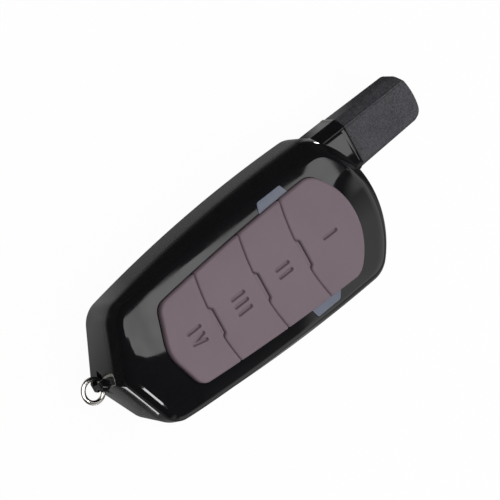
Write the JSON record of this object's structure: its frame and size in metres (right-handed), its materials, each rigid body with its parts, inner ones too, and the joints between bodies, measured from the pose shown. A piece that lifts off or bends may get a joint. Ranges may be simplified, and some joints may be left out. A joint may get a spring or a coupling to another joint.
{
  "type": "cloning remote control",
  "caption": "Slim black handheld remote with keys marked by plain Roman numerals, an offset stub aerial, two small light windows and a key ring at the foot.",
  "frame": {"origin": "on the flat back face, on the body's centre line, level with the middle of the key pad", "axes": "+Y towards the stub aerial, +Z out of the keys, +X to the right seen from the key side"},
  "size_m": [0.0338, 0.0964, 0.0155],
  "materials": {
    "gloss_black": "high gloss moulded plastic",
    "matte_black": "fine textured moulded plastic",
    "key_mauve": "soft-touch coating",
    "window_blue": "tinted translucent plastic",
    "ring_nickel": "nickel plated wire",
    "board_green": "solder mask",
    "switch_black": "moulded plastic",
    "plunger_white": "moulded plastic",
    "chip_black": "epoxy",
    "plated_steel": "nickel plated sheet",
    "screw_steel": "zinc plated",
    "coil_copper": "tinned copper wire",
    "ceramic_tan": "ceramic",
    "light_white": "clear epoxy"
  },
  "bodies": {
    "housing": {"front_cover": "gloss_black", "back_cover": "gloss_black", "antenna_cap": "matte_black", "antenna_coil": "coil_copper", "window_left": "window_blue", "window_right": "window_blue", "circuit_board": "board_green", "switch_housings": "switch_black", "controller_chip": "chip_black", "memory_chip": "chip_black", "radio_chip": "chip_black", "resonator": "plated_steel", "small_parts": "ceramic_tan", "status_lights": "light_white", "coin_cell": "plated_steel", "contact_minus": "plated_steel", "contact_plus": "plated_steel", "cover_screws": "screw_steel"},
    "first_key": {"key_1": "key_mauve", "switch_plunger_1": "plunger_white"},
    "second_key": {"key_2": "key_mauve", "switch_plunger_2": "plunger_white"},
    "third_key": {"key_3": "key_mauve", "switch_plunger_3": "plunger_white"},
    "fourth_key": {"key_4": "key_mauve", "switch_plunger_4": "plunger_white"},
    "ring": {"key_ring": "ring_nickel"}
  },
  "joints": [
    {"name": "key_1_press", "type": "slide", "parent": "housing", "child": "first_key", "axis": [0, 0, -1], "range_m": [0, 0.0004], "stiffness_N_per_m": 1500, "springref_m": -0.0002},
    {"name": "key_2_press", "type": "slide", "parent": "housing", "child": "second_key", "axis": [0, 0, -1], "range_m": [0, 0.0004], "stiffness_N_per_m": 1500, "springref_m": -0.0002},
    {"name": "key_3_press", "type": "slide", "parent": "housing", "child": "third_key", "axis": [0, 0, -1], "range_m": [0, 0.0004], "stiffness_N_per_m": 1500, "springref_m": -0.0002},
    {"name": "key_4_press", "type": "slide", "parent": "housing", "child": "fourth_key", "axis": [0, 0, -1], "range_m": [0, 0.0004], "stiffness_N_per_m": 1500, "springref_m": -0.0002},
    {"name": "ring_swing", "type": "hinge", "parent": "housing", "child": "ring", "pos_m": [0, -0.03875, 0.0039], "axis": [0, 0, 1], "range_deg": [-35, 35]}
  ]
}
